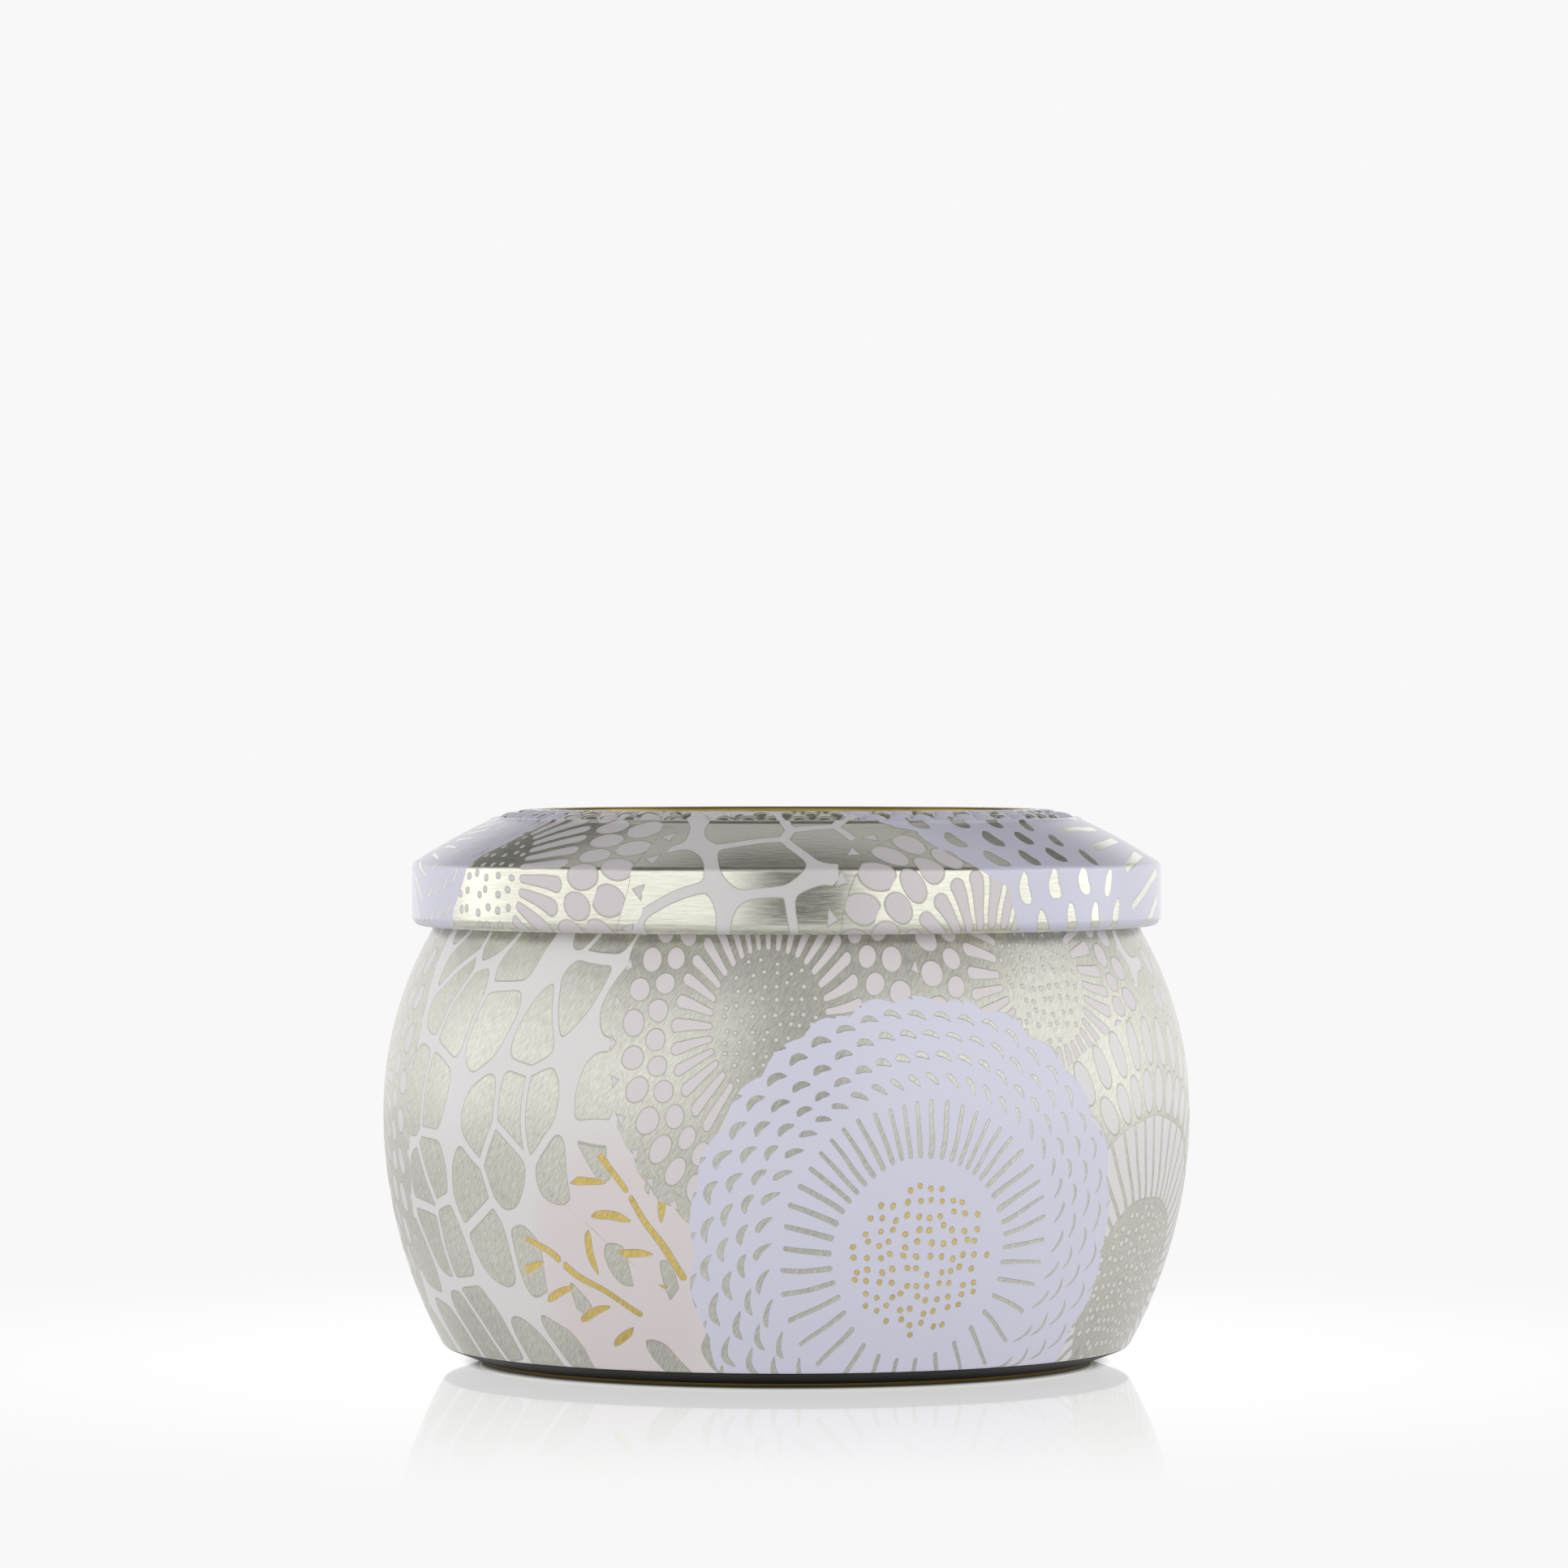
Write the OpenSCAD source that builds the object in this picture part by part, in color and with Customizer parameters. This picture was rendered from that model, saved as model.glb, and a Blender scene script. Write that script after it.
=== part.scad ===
// Bulged slip-lid candle tin: printed tinplate wall, clinched base, lift-off lid and a single-wick candle.
// Everything except the crimp flats on the wick tab is turned about the Z axis.
// The origin is the middle of the foot's underside and +Z points up.

/* [Body] */
// Radius of the wall at the widest point of the bulge
body_r = 38.0; // [36:0.5:40]
// Height of the widest point of the bulge above the foot
bulge_z = 23.6; // [22:0.2:25]
// Profile radius of the bulge below its widest point
lower_arc_r = 45.5; // [44:0.5:50]
// Profile radius of the bulge above its widest point
upper_arc_r = 33.8; // [33:0.2:34.6]
// Radius of the neck inside the lid
neck_r = 33.2; // [33:0.05:33.3]
// Height of the top of the curled mouth rim
mouth_z = 47.7; // [47.3:0.1:47.8]
// Thickness of the tinplate
sheet_t = 0.3; // [0.25:0.05:0.3]

/* [Base] */
// Outer radius of the foot bead that stands on the table
foot_r = 29.0; // [28.8:0.1:29.2]
// Height of the turned-in flange above the table
flange_z = 0.36; // [0.3:0.02:0.4]
// Height of the recessed panel's underside
panel_z = 1.3; // [1.2:0.1:1.4]
// Radius of the paper label under the base
label_r = 24; // [20:1:25]

/* [Lid] */
// Outer radius of the lid's straight skirt
lid_r = 35.3; // [35.2:0.05:35.4]
// Height of the bottom of the rolled hem
hem_z = 41.05; // [41:0.05:41.3]
// Outer radius of the rolled hem's tube
hem_r = 0.95; // [0.8:0.05:0.95]
// Slope of the coned shoulder
cone_angle = 29; // [28:0.5:30]
// Height of the crest, the highest line of the lid
crest_z = 52; // [51.8:0.1:52.4]
// Radius at which the crest runs round the top recess
crest_r = 23.8; // [23.5:0.1:24]
// Depth of the top recess below the crest
recess_depth = 1.4; // [1.2:0.1:1.6]
// Radius of the brass medallion in the recess
medallion_r = 22.7; // [22:0.1:22.8]

/* [Candle] */
// Height of the wax surface above the foot
wax_z = 33.5; // [30:0.5:36]
// Length of wick that stands above the wax
wick_stub = 5; // [3:0.5:6]
// Radius of the braided wick
wick_r = 1.1; // [0.9:0.05:1.2]
// Radius of the wick tab's disc
tab_r = 10; // [8:0.5:12]

/* [Hidden] */
$fn = 128;

gap = 0.03;            // air left between glued or poured pieces
smooth_steps = 14;     // straight steps in a long profile arc
curl_steps = 18;       // straight steps in a small curl

// Body wall
corner_r = 1.1;        // rounding from the wall into the flange
corner_start = -68;    // direction, seen from its centre, in which the rounding meets the flange
flange_clear = 0.14;   // space between the flange's edge and the foot bead
wall_low_z = 1.9;      // where the lower bulge arc ends above the rounding
neck_fillet = 2.5;     // hollow rounding from the bulge into the neck
mouth_curl_r = 0.65;   // outer radius of the mouth curl's tube
curl_turn = 280;       // how far a curl is rolled
upper_c = [body_r - upper_arc_r, bulge_z];
lower_c = [body_r - lower_arc_r, bulge_z];
fillet_x = neck_r + neck_fillet;
fillet_reach = upper_arc_r + neck_fillet;
fillet_angle = acos((fillet_x - upper_c[0]) / fillet_reach);
fillet_c = [fillet_x, bulge_z + fillet_reach * sin(fillet_angle)];
low_angle = asin((wall_low_z - bulge_z) / lower_arc_r);
low_point = lower_c + lower_arc_r * [cos(low_angle), sin(low_angle)];
corner_c = low_point - corner_r * [cos(low_angle), sin(low_angle)];

// Base plate
rim_z = 1.45;          // underside of the plate's rim, above the flange
rim_r = 30.7;          // outer radius of the plate's rim
bead_r = 0.5;          // rounding at the foot bead's edges
bead_w = 1.7;          // width of the foot bead
label_t = 0.12;
compound_in = foot_r + bead_r + 0.1;
compound_out = 30.5;

// Lid
crest_arc_r = 9;       // rounding from the cone into the crest
crest_lip_r = 0.5;     // rounding from the crest into the recess
lip_end = 150;         // direction in which the lip rounding ends
shoulder_r = 0.8;      // rounding from the skirt into the cone
cone_normal = 90 - cone_angle;
crest_c = [crest_r, crest_z - crest_arc_r];
cone_top = crest_c + crest_arc_r * [cos(cone_normal), sin(cone_normal)];
shoulder_x = lid_r - shoulder_r;
shoulder_touch_x = shoulder_x + shoulder_r * cos(cone_normal);
shoulder_touch_z = cone_top[1] - (shoulder_touch_x - cone_top[0]) * tan(cone_angle);
shoulder_c = [shoulder_x, shoulder_touch_z - shoulder_r * sin(cone_normal)];
recess_z = crest_z - recess_depth;
recess_r = 23.1;       // radius of the recess at its foot
recess_corner_r = 0.35; // rounding from the recess wall into its floor
pad_t = 0.1;
pad_r = 21.5;
medal_t = 0.45;
medal_groove_r = 20.2; // middle of the ring groove in the medallion
medal_groove_w = 0.8;
medal_groove_d = 0.15;
medal_chamfer = 0.12;

// Candle
plate_top = panel_z + sheet_t;
sticker_t = 0.4;
sticker_r = 9.2;
tab_t = 0.3;
tab_neck_r = 1.75;
tab_neck_h = 6;
tab_fillet = 0.8;      // rounding from the tab's disc into its neck
tab_bottom = plate_top + sticker_t + gap;
wick_bore_r = wick_r + gap;
crimp_flat = 1.52;     // distance of each crimp flat from the axis
crimp_h = 2.4;
core_r = 0.45;
wick_top = wax_z + wick_stub;

// Points along an arc about c, from angle a0 to angle a1
function arc(c, r, a0, a1, steps) = [for (i = [0:steps]) c + r * [cos(a0 + (a1 - a0) * i / steps),
                                                                  sin(a0 + (a1 - a0) * i / steps)]];

// Unit normal to the left of the path at point i
function normal(path, i) =
    let (a = path[max(i - 1, 0)], b = path[min(i + 1, len(path) - 1)])
    [a[1] - b[1], b[0] - a[0]] / norm(b - a);

// The path moved to its left by a distance d
function moved(path, d) = [for (i = [0:len(path) - 1]) path[i] + d * normal(path, i)];

function reversed(path) = [for (i = [len(path) - 1:-1:0]) path[i]];

// Closed outline of sheet metal of thickness t on the left of a path
function sheet(path, t) = concat(path, reversed(moved(path, t)));

// Outside of the wall above the flange rounding, from the bottom up to the start of the neck
function bulge_path() = concat(
    arc(lower_c, lower_arc_r, low_angle, 0, smooth_steps),
    [for (i = [1:smooth_steps]) upper_c + upper_arc_r * [cos(fillet_angle * i / smooth_steps),
                                                         sin(fillet_angle * i / smooth_steps)]]);

// Outside of the wall, from the flange's inner edge up round the mouth curl
function wall_path() = concat(
    [[foot_r + flange_clear, flange_z]],
    arc(corner_c, corner_r, corner_start, low_angle - 6, 6),
    bulge_path(),
    arc(fillet_c, neck_fillet, 180 + fillet_angle - 4, 180, 6),
    arc([neck_r - mouth_curl_r, mouth_z - mouth_curl_r], mouth_curl_r, 0, curl_turn, curl_steps));

// Height, at radius r, just above the flange
function above_flange(r) =
    let (edge = moved(wall_path(), sheet_t + gap), s = (r - edge[0][0]) / (edge[1][0] - edge[0][0]))
    edge[0][1] + s * (edge[1][1] - edge[0][1]);

// Underside of the base plate, from the middle out to its rim
function plate_path() =
    let (in_x = foot_r - bead_w, out_x = foot_r - bead_r)
    concat(
        [[0, panel_z]],
        arc([in_x - bead_r, panel_z - bead_r], bead_r, 90, 0, 5),
        arc([in_x + bead_r, bead_r], bead_r, 180, 270, 5),
        arc([out_x, bead_r], bead_r, 270, 360, 5),
        arc([foot_r + bead_r, rim_z - bead_r], bead_r, 180, 90, 5),
        [[rim_r, rim_z]]);

// Outside of the lid, from the rolled hem's free edge over the crest to the middle of the recess
function lid_path() = concat(
    arc([lid_r - hem_r, hem_z + hem_r], hem_r, 360 - curl_turn, 360, curl_steps),
    arc(shoulder_c, shoulder_r, 0, cone_normal, 6),
    arc(crest_c, crest_arc_r, cone_normal, 90, smooth_steps),
    arc([crest_r, crest_z - crest_lip_r], crest_lip_r, 105, lip_end, 4),
    arc([recess_r - recess_corner_r, recess_z + recess_corner_r], recess_corner_r, 0, -90, 4),
    [[0, recess_z]]);

// A disc with its lower face at height z
module disc(r, z, t) {
    translate([0, 0, z])
        cylinder(r = r, h = t);
}

// Printed wall with its neck, curled mouth rim and turned-in black flange
module body_wall() {
    color([0.80, 0.79, 0.86])
        rotate_extrude()
            polygon(sheet(wall_path(), sheet_t));
}

// End plate clinched above the flange; its bead is the foot
module base_plate() {
    color([0.66, 0.55, 0.32])
        rotate_extrude()
            polygon(sheet(plate_path(), sheet_t));
}

// Sealing ring between the flange and the plate's rim
module seam_compound() {
    color([0.12, 0.12, 0.12])
        rotate_extrude()
            polygon([[compound_in, above_flange(compound_in)], [compound_out, above_flange(compound_out)],
                     [compound_out, rim_z - gap], [compound_in, rim_z - gap]]);
}

// Blank paper label under the recessed panel
module base_label() {
    color([0.95, 0.94, 0.90])
        disc(label_r, panel_z - gap - label_t, label_t);
}

// Poured wax: it follows the wall, the base plate and the wick tab
module wax_fill() {
    skin = sheet_t + gap;
    tab_top = tab_bottom + tab_t + gap;
    wall = [for (p = moved(bulge_path(), skin)) if (p[1] < wax_z && p[1] > rim_z + sheet_t + gap) p];
    wax_x = upper_c[0] + sqrt(pow(upper_arc_r - skin, 2) - pow(wax_z - bulge_z, 2));
    floor_line = [for (p = moved(plate_path(), skin)) if (p[0] > tab_r + 1) p];
    color([0.96, 0.94, 0.88])
        rotate_extrude()
            polygon(concat(
                [[wick_bore_r, wax_z], [wick_bore_r, tab_bottom + tab_neck_h + gap],
                 [tab_neck_r + gap, tab_bottom + tab_neck_h + gap], [tab_neck_r + gap, tab_top + tab_fillet],
                 [tab_neck_r + tab_fillet, tab_top], [tab_r + gap, tab_top], [tab_r + gap, plate_top + gap]],
                floor_line,
                wall,
                [[wax_x, wax_z]]));
}

// Braided cotton sleeve of the wick
module wick() {
    color([0.97, 0.96, 0.92])
        difference() {
            disc(wick_r, tab_bottom + gap, wick_top - tab_bottom - gap);
            disc(core_r + gap, 0, wick_top + 1);
        }
}

// Paper cord inside the braid
module wick_core() {
    color([0.88, 0.84, 0.74])
        disc(core_r, tab_bottom + gap, wick_top - tab_bottom - gap);
}

// Pressed tab: a disc whose neck is crimped on the wick by four flats
module wick_sustainer() {
    neck_top = tab_bottom + tab_neck_h;
    fillet_point = [tab_neck_r + tab_fillet, tab_bottom + tab_t + tab_fillet];
    color([0.75, 0.76, 0.78])
        difference() {
            rotate_extrude()
                polygon(concat(
                    [[wick_bore_r, tab_bottom], [tab_r, tab_bottom], [tab_r, tab_bottom + tab_t]],
                    arc(fillet_point, tab_fillet, 270, 180, 5),
                    [[tab_neck_r, neck_top], [wick_bore_r, neck_top]]));
            for (turn = [0:90:270])
                rotate(turn)
                    translate([crimp_flat, -tab_neck_r, neck_top - crimp_h - 0.8])
                        cube([tab_neck_r, 2 * tab_neck_r, crimp_h]);
        }
}

// Adhesive dot under the tab
module wick_sticker() {
    color([0.90, 0.90, 0.88])
        disc(sticker_r, plate_top + gap / 2, sticker_t);
}

// Drawn lid with a rolled hem, coned shoulder and recessed top
module lid_shell() {
    color([0.84, 0.80, 0.84])
        rotate_extrude()
            polygon(sheet(lid_path(), sheet_t));
}

// Adhesive disc under the medallion
module medallion_pad() {
    color([0.85, 0.85, 0.80])
        disc(pad_r, recess_z + gap / 2, pad_t);
}

// Brass disc in the lid's recess, with a chamfered edge and a ring groove
module lid_medallion() {
    bottom = recess_z + pad_t + gap;
    top = bottom + medal_t;
    color([0.70, 0.58, 0.32])
        rotate_extrude()
            polygon([[0, bottom], [medallion_r, bottom], [medallion_r, top - medal_chamfer],
                     [medallion_r - medal_chamfer, top],
                     [medal_groove_r + medal_groove_w / 2, top], [medal_groove_r, top - medal_groove_d],
                     [medal_groove_r - medal_groove_w / 2, top], [0, top]]);
}

body_wall();
base_plate();
seam_compound();
base_label();
wax_fill();
wick();
wick_core();
wick_sustainer();
wick_sticker();
lid_shell();
medallion_pad();
lid_medallion();
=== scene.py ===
"""Looks of a bulged slip-lid candle tin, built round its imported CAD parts.

Lengths are millimetres until a mesh is made. The front of the printed design faces -Y.
"""

import math

import bmesh
import bpy
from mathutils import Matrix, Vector


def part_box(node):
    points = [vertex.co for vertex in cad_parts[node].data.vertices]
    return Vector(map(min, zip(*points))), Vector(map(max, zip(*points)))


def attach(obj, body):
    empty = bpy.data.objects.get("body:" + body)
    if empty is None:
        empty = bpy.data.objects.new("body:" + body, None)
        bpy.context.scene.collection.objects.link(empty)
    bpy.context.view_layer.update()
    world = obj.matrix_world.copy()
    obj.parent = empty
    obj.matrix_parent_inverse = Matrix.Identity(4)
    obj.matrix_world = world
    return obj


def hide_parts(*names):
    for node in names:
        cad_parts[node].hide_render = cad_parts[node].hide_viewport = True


MM = 0.001

# Body wall, the same sizes as the CAD
SHEET_T = 0.3
BODY_R = 38.0
BULGE_Z = 23.6
LOWER_ARC_R = 45.5
UPPER_ARC_R = 33.8
NECK_R = 33.2
NECK_FILLET = 2.5
MOUTH_Z = 47.7
MOUTH_CURL_R = 0.65
CURL_TURN = 280
WALL_LOW_Z = 1.9
CORNER_R = 1.1
CORNER_START = -68
FLANGE_Z = 0.36
FLANGE_CLEAR = 0.14
BLACK_TOP_Z = 1.6

# Lapped side seam at the back: how proud it is, its half width, and where it fades out
SEAM_RISE = 0.11
SEAM_HALF_W = 0.9
SEAM_LOW_Z = 3.0
SEAM_HIGH_Z = 44.0

# Base plate
FOOT_R = 29.0
BEAD_W = 1.7
BEAD_R = 0.5
PANEL_Z = 1.3
RIM_Z = 1.45
RIM_R = 30.7

# Lid
LID_R = 35.3
HEM_Z = 41.05
HEM_R = 0.95
CONE_ANGLE = 29
SHOULDER_R = 0.8
CREST_Z = 52.0
CREST_R = 23.8
CREST_ARC_R = 9.0
CREST_LIP_R = 0.5
RECESS_R = 23.1
RECESS_Z = 50.6
RECESS_CORNER_R = 0.35
CONE_CROWN = 0.15

# Distance from the middle of the lid's flat blank to the crest
CREST_SPREAD = 24.3

# Two rows of beads round the lid's crest, and a smooth ridge outside them.
# Places are distances outwards from the crest along the sheet. A row has the place of its
# middle, half its width, and how far it is turned, in beads.
BEADS = 70
BEAD_ROWS = [(0.95, 0.95, 0.5), (2.6, 1.05, 0.0)]
BEADS_START = 0.1
BEADS_END = 3.7
BEAD_FILL = 0.86
RELIEF = 0.42
RIDGE = 0.08
RIDGE_W = 0.75

# Medallion
MEDAL_R = 22.7
MEDAL_BOTTOM = 50.73
MEDAL_TOP = 51.18
MEDAL_EDGE = 0.12
PETALS = 16
PETAL_DEPTH = 0.09

# Candle
WAX_Z = 33.5
WICK_R = 1.1
CORE_R = 0.45
GAP = 0.03

# The printed design repeats twice round the wall
WALL_PERIOD = math.pi * BODY_R

# Printed colours, as they look under white light, then painted shade for the ink's edges and the
# gold lacquer
LAVENDER = (210, 209, 226)
LILAC = (220, 217, 217)
PINK = (219, 209, 210)
PALE_PINK = (215, 208, 210)
WHITE_INK = (219, 217, 216)
CHAMPAGNE = (214, 213, 200)
DULL_CHAMPAGNE = (201, 200, 190)
GOLD_INK = (214, 191, 116)
# Painted shade for the ink's edges, where the ink steps down to the bare metal
PAINTED_EDGE_SHADE = (160, 157, 144)
LACQUER = (196, 172, 104)


def linear(colour):
    """Linear colour from a colour on the usual 0 to 255 display scale"""
    values = []
    for part in colour:
        x = part / 255
        values.append(x / 12.92 if x <= 0.04045 else ((x + 0.055) / 1.055) ** 2.4)
    return (*values, 1.0)


# ---------------------------------------------------------------- profiles


def arc(centre, radius, start, end, steps):
    """Points along an arc, angles in degrees"""
    points = []
    for i in range(steps + 1):
        angle = math.radians(start + (end - start) * i / steps)
        points.append((centre[0] + radius * math.cos(angle), centre[1] + radius * math.sin(angle)))
    return points


def moved(path, distance):
    """The path moved to its left"""
    result = []
    for i, (r, z) in enumerate(path):
        before = path[max(i - 1, 0)]
        after = path[min(i + 1, len(path) - 1)]
        dr = after[0] - before[0]
        dz = after[1] - before[1]
        length = math.hypot(dr, dz)
        result.append((r - distance * dz / length, z + distance * dr / length))
    return result


def lengths(path):
    """Distance along the path to each of its points"""
    total = [0.0]
    for a, b in zip(path, path[1:]):
        total.append(total[-1] + math.dist(a, b))
    return total


def wall_path():
    """Outside of the wall, from the flange's inner edge up round the mouth curl"""
    upper_c = (BODY_R - UPPER_ARC_R, BULGE_Z)
    lower_c = (BODY_R - LOWER_ARC_R, BULGE_Z)
    fillet_x = NECK_R + NECK_FILLET
    turn = math.degrees(math.acos((fillet_x - upper_c[0]) / (UPPER_ARC_R + NECK_FILLET)))
    fillet_z = BULGE_Z + (UPPER_ARC_R + NECK_FILLET) * math.sin(math.radians(turn))
    low = math.degrees(math.asin((WALL_LOW_Z - BULGE_Z) / LOWER_ARC_R))
    low_r = lower_c[0] + LOWER_ARC_R * math.cos(math.radians(low))
    corner_c = (low_r - CORNER_R * math.cos(math.radians(low)),
                WALL_LOW_Z - CORNER_R * math.sin(math.radians(low)))
    path = [(FOOT_R + FLANGE_CLEAR, FLANGE_Z)]
    path += arc(corner_c, CORNER_R, CORNER_START, low - 4, 10)
    path += arc(lower_c, LOWER_ARC_R, low, 0, 44)
    path += arc(upper_c, UPPER_ARC_R, 0, turn, 36)[1:]
    path += arc((fillet_x, fillet_z), NECK_FILLET, 180 + turn - 4, 180, 10)
    curl_c = (NECK_R - MOUTH_CURL_R, MOUTH_Z - MOUTH_CURL_R)
    path += arc(curl_c, MOUTH_CURL_R, 0, CURL_TURN, 26)
    return path


def plate_path():
    """Underside of the base plate, from the middle out to its rim"""
    in_r = FOOT_R - BEAD_W
    out_r = FOOT_R - BEAD_R
    path = [(0.0, PANEL_Z)]
    path += [(r, PANEL_Z + dz) for r, dz in ((24.6, 0), (24.9, 0.02), (25.4, 0.02), (25.7, 0))]
    path += arc((in_r - BEAD_R, PANEL_Z - BEAD_R), BEAD_R, 90, 0, 8)
    path += arc((in_r + BEAD_R, BEAD_R), BEAD_R, 180, 270, 8)
    path += arc((out_r, BEAD_R), BEAD_R, 270, 360, 10)
    path += arc((FOOT_R + BEAD_R, RIM_Z - BEAD_R), BEAD_R, 180, 90, 8)
    path.append((RIM_R, RIM_Z))
    return path


def lid_shape():
    """Centres and angle that the lid's outside is drawn from"""
    normal = 90 - CONE_ANGLE
    crest_c = (CREST_R, CREST_Z - CREST_ARC_R)
    top_r = crest_c[0] + CREST_ARC_R * math.cos(math.radians(normal))
    top_z = crest_c[1] + CREST_ARC_R * math.sin(math.radians(normal))
    shoulder_r = LID_R - SHOULDER_R
    touch_r = shoulder_r + SHOULDER_R * math.cos(math.radians(normal))
    touch_z = top_z - (touch_r - top_r) * math.tan(math.radians(CONE_ANGLE))
    shoulder_c = (shoulder_r, touch_z - SHOULDER_R * math.sin(math.radians(normal)))
    return normal, crest_c, shoulder_c, (top_r, top_z), (touch_r, touch_z)


def lid_path():
    """Outside of the lid, from the rolled hem's free edge over the crest to the middle"""
    normal, crest_c, shoulder_c, cone_top, cone_foot = lid_shape()
    path = arc((LID_R - HEM_R, HEM_Z + HEM_R), HEM_R, 360 - CURL_TURN, 360, 30)
    skirt_low = path[-1][1]
    skirt_high = shoulder_c[1]
    path += [(LID_R, skirt_low + (skirt_high - skirt_low) * i / 4) for i in range(1, 4)]
    path += arc(shoulder_c, SHOULDER_R, 0, normal, 10)
    for i in range(1, 12):
        share = i / 12
        crown = CONE_CROWN * 4 * share * (1 - share)
        path.append((cone_foot[0] + (cone_top[0] - cone_foot[0]) * share,
                     cone_foot[1] + (cone_top[1] - cone_foot[1]) * share + crown))
    path += arc(crest_c, CREST_ARC_R, normal, 90, 34)
    path += arc((CREST_R, CREST_Z - CREST_LIP_R), CREST_LIP_R, 100, 150, 7)
    corner_c = (RECESS_R - RECESS_CORNER_R, RECESS_Z + RECESS_CORNER_R)
    path += arc(corner_c, RECESS_CORNER_R, 0, -90, 6)
    path += [(11.0, RECESS_Z), (0.0, RECESS_Z)]
    return path


# ---------------------------------------------------------------- meshes

SHARP_ANGLE = 40


def bounded(x):
    """x kept between 0 and 1"""
    return min(1.0, max(0.0, x))


def fall_off(x, steepness):
    """1 well below 0 and 0 well above it, with a smooth step between"""
    return 0.5 - 0.5 * math.tanh(x * steepness)


def revolve(name, outline, turns, materials, zones, sheet_v=None, sheet_r=1.0, lift=None):
    """Closed mesh turned about Z from a closed outline of (r, z) points.

    zones gives each outline edge's material. lift(angle, index) gives a small (dr, dz) shift.
    The UV map "sheet" holds millimetres: distance round the piece and sheet_v.
    """
    count = len(outline)
    vertices = []
    for i in range(turns):
        angle = -math.pi + 2 * math.pi * i / turns
        for j, (r, z) in enumerate(outline):
            dr, dz = lift(angle, j) if lift else (0.0, 0.0)
            vertices.append(((r + dr) * math.sin(angle) * MM, -(r + dr) * math.cos(angle) * MM,
                             (z + dz) * MM))
    faces = []
    kinds = []
    spots = []
    for i in range(turns):
        here = i * count
        there = ((i + 1) % turns) * count
        u0 = sheet_r * (-math.pi + 2 * math.pi * i / turns)
        u1 = sheet_r * (-math.pi + 2 * math.pi * (i + 1) / turns)
        for j in range(count):
            k = (j + 1) % count
            faces.append((here + j, there + j, there + k, here + k))
            kinds.append(zones[j])
            if sheet_v:
                spots += [u0, sheet_v[j], u1, sheet_v[j], u1, sheet_v[k], u0, sheet_v[k]]
    mesh = bpy.data.meshes.new(name)
    mesh.from_pydata(vertices, [], faces)
    mesh.polygons.foreach_set("material_index", kinds)
    if sheet_v:
        mesh.uv_layers.new(name="sheet").data.foreach_set("uv", spots)
    return finish_mesh(name, mesh, materials)


def finish_mesh(name, mesh, materials):
    """Object from a mesh: doubled points joined, faces smooth, edges over SHARP_ANGLE kept sharp"""
    work = bmesh.new()
    work.from_mesh(mesh)
    bmesh.ops.remove_doubles(work, verts=work.verts, dist=1e-7)
    work.to_mesh(mesh)
    work.free()
    for material in materials:
        mesh.materials.append(material)
    mesh.shade_smooth()
    mesh.set_sharp_from_angle(angle=math.radians(SHARP_ANGLE))
    item = bpy.data.objects.new(name, mesh)
    bpy.context.scene.collection.objects.link(item)
    return item


# ---------------------------------------------------------------- material arithmetic


class Num:
    """A number in a node tree, with ordinary arithmetic"""

    def __init__(self, tree, socket):
        self.tree = tree
        self.socket = socket

    def calc(self, operation, *others):
        """The result of a math node on this number and the others"""
        node = self.tree.nodes.new("ShaderNodeMath")
        node.operation = operation
        for slot, value in zip(node.inputs, (self, *others)):
            plug(self.tree, value, slot)
        return Num(self.tree, node.outputs[0])

    def __add__(self, other):
        return self.calc("ADD", other)

    def __sub__(self, other):
        return self.calc("SUBTRACT", other)

    def __mul__(self, other):
        return self.calc("MULTIPLY", other)

    def __truediv__(self, other):
        return self.calc("DIVIDE", other)

    def __neg__(self):
        return self.calc("MULTIPLY", -1.0)

    def less(self, other):
        """The smaller of two numbers"""
        return self.calc("MINIMUM", other)

    def more(self, other):
        """The larger of two numbers"""
        return self.calc("MAXIMUM", other)

    def size(self):
        """The number without its sign"""
        return self.calc("ABSOLUTE")

    def line(self, factor, offset):
        """self * factor + offset"""
        return self.calc("MULTIPLY_ADD", factor, offset)


def plug(tree, value, slot):
    """Links a number or socket to a slot, or sets the slot's constant"""
    if isinstance(value, Num):
        tree.links.new(value.socket, slot)
    elif isinstance(value, bpy.types.NodeSocket):
        tree.links.new(value, slot)
    else:
        slot.default_value = value


def hypot(a, b):
    """Length of the long side of a right-angled triangle"""
    return (a * a).calc("ADD", b * b).calc("SQRT")


def ramp(x, low, high, start=0.0, end=1.0):
    """Smooth step from start at low to end at high"""
    node = x.tree.nodes.new("ShaderNodeMapRange")
    node.interpolation_type = "SMOOTHSTEP"
    for slot, value in zip(node.inputs, (x, low, high, start, end)):
        plug(x.tree, value, slot)
    return Num(x.tree, node.outputs[0])


def blend(mask, a, b):
    """a where the mask is 0 and b where it is 1"""
    node = mask.tree.nodes.new("ShaderNodeMix")
    plug(mask.tree, mask, node.inputs[0])
    plug(mask.tree, a, node.inputs[2])
    plug(mask.tree, b, node.inputs[3])
    return Num(mask.tree, node.outputs[0])


def tint(mask, a, b):
    """Colour a where the mask is 0 and colour b where it is 1"""
    node = mask.tree.nodes.new("ShaderNodeMix")
    node.data_type = "RGBA"
    plug(mask.tree, mask, node.inputs[0])
    plug(mask.tree, a, node.inputs[6])
    plug(mask.tree, b, node.inputs[7])
    return node.outputs[2]


def shaded(tree, colour, shade):
    """The colour multiplied by another colour"""
    node = tree.nodes.new("ShaderNodeMix")
    node.data_type = "RGBA"
    node.blend_type = "MULTIPLY"
    plug(tree, 1.0, node.inputs[0])
    plug(tree, colour, node.inputs[6])
    plug(tree, shade, node.inputs[7])
    return node.outputs[2]


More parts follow.
